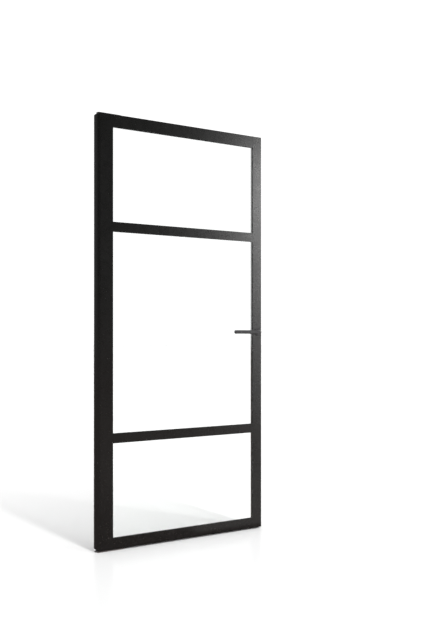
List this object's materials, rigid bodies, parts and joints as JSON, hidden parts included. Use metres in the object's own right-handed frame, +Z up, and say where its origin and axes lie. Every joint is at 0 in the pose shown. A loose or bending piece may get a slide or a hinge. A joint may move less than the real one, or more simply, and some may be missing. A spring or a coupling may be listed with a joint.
{
  "type": "glass door",
  "caption": "Slim black framed glass pivot door leaf with clear panes between level bars, a bar lever latch, and floor and head pivots at a rounded edge",
  "frame": {"origin": "on the pivot axis, on the underside of the floor plate, which is the finished floor", "axes": "+X from the pivot axis to the lock edge, +Y through the leaf away from the lever side, +Z up"},
  "size_m": [0.94, 0.1215, 2.127],
  "materials": {
    "frame_black": "satin black powder coat",
    "handle_graphite": "satin graphite",
    "clear_glass": "clear toughened glass",
    "black_rubber": "matt rubber",
    "block_plastic": "matt plastic",
    "steel": "brushed stainless steel",
    "bright_aluminium": "mill finish",
    "bronze": "turned bearing bronze",
    "screw_steel": "zinc plated steel"
  },
  "bodies": {
    "pivots": {"floor_plate": "steel", "floor_pin": "steel", "head_plate": "steel", "head_pin": "steel"},
    "leaf": {"thrust_washer": "block_plastic", "bottom_bush": "bronze", "top_bush": "bronze", "bottom_pivot_block": "bright_aluminium", "top_pivot_block": "bright_aluminium", "pivot_block_screws": "screw_steel", "pivot_stile": "frame_black", "lock_stile": "frame_black", "top_rail": "frame_black", "bottom_rail": "frame_black", "upper_bar": "frame_black", "lower_bar": "frame_black", "corner_cleats": "bright_aluminium", "bar_spigots": "bright_aluminium", "corner_screws": "screw_steel", "bar_screws": "screw_steel", "end_plugs": "block_plastic", "top_pane": "clear_glass", "middle_pane": "clear_glass", "bottom_pane": "clear_glass", "top_rubber": "black_rubber", "middle_rubber": "black_rubber", "bottom_rubber": "black_rubber", "setting_blocks": "block_plastic", "top_bead_head": "frame_black", "top_bead_sill": "frame_black", "top_bead_pivot": "frame_black", "top_bead_lock": "frame_black", "middle_bead_head": "frame_black", "middle_bead_sill": "frame_black", "middle_bead_pivot": "frame_black", "middle_bead_lock": "frame_black", "bottom_bead_head": "frame_black", "bottom_bead_sill": "frame_black", "bottom_bead_pivot": "frame_black", "bottom_bead_lock": "frame_black", "lock_case": "steel", "lock_cover": "steel", "lock_faceplate": "steel", "lock_brackets": "bright_aluminium", "faceplate_screws": "screw_steel", "front_rose_base": "bright_aluminium", "front_rose_cover": "handle_graphite", "rear_rose_base": "bright_aluminium", "rear_rose_cover": "handle_graphite", "rose_screws": "screw_steel"},
    "handle": {"lever": "handle_graphite", "spindle": "steel", "follower": "steel", "turn_knob": "handle_graphite", "grub_screws": "screw_steel"},
    "latch": {"latch_bolt": "steel", "latch_spring": "screw_steel"}
  },
  "joints": [
    {"name": "leaf_swing", "type": "hinge", "parent": "pivots", "child": "leaf", "pos_m": [0, 0, 0], "axis": [0, 0, 1], "range_deg": [-90, 90]},
    {"name": "lever_turn", "type": "hinge", "parent": "leaf", "child": "handle", "pos_m": [0.884, 0, 1.065], "axis": [0, -1, 0], "range_deg": [0, 35], "stiffness_Nm_per_rad": 1.5, "springref_deg": -28.65},
    {"name": "latch_slide", "type": "slide", "parent": "leaf", "child": "latch", "axis": [-1, 0, 0], "range_m": [0, 0.01], "deforming": ["latch_spring"]}
  ],
  "couplings": [
    {"joint": "latch_slide", "follows": "lever_turn", "m_per_rad": 0.01637}
  ]
}
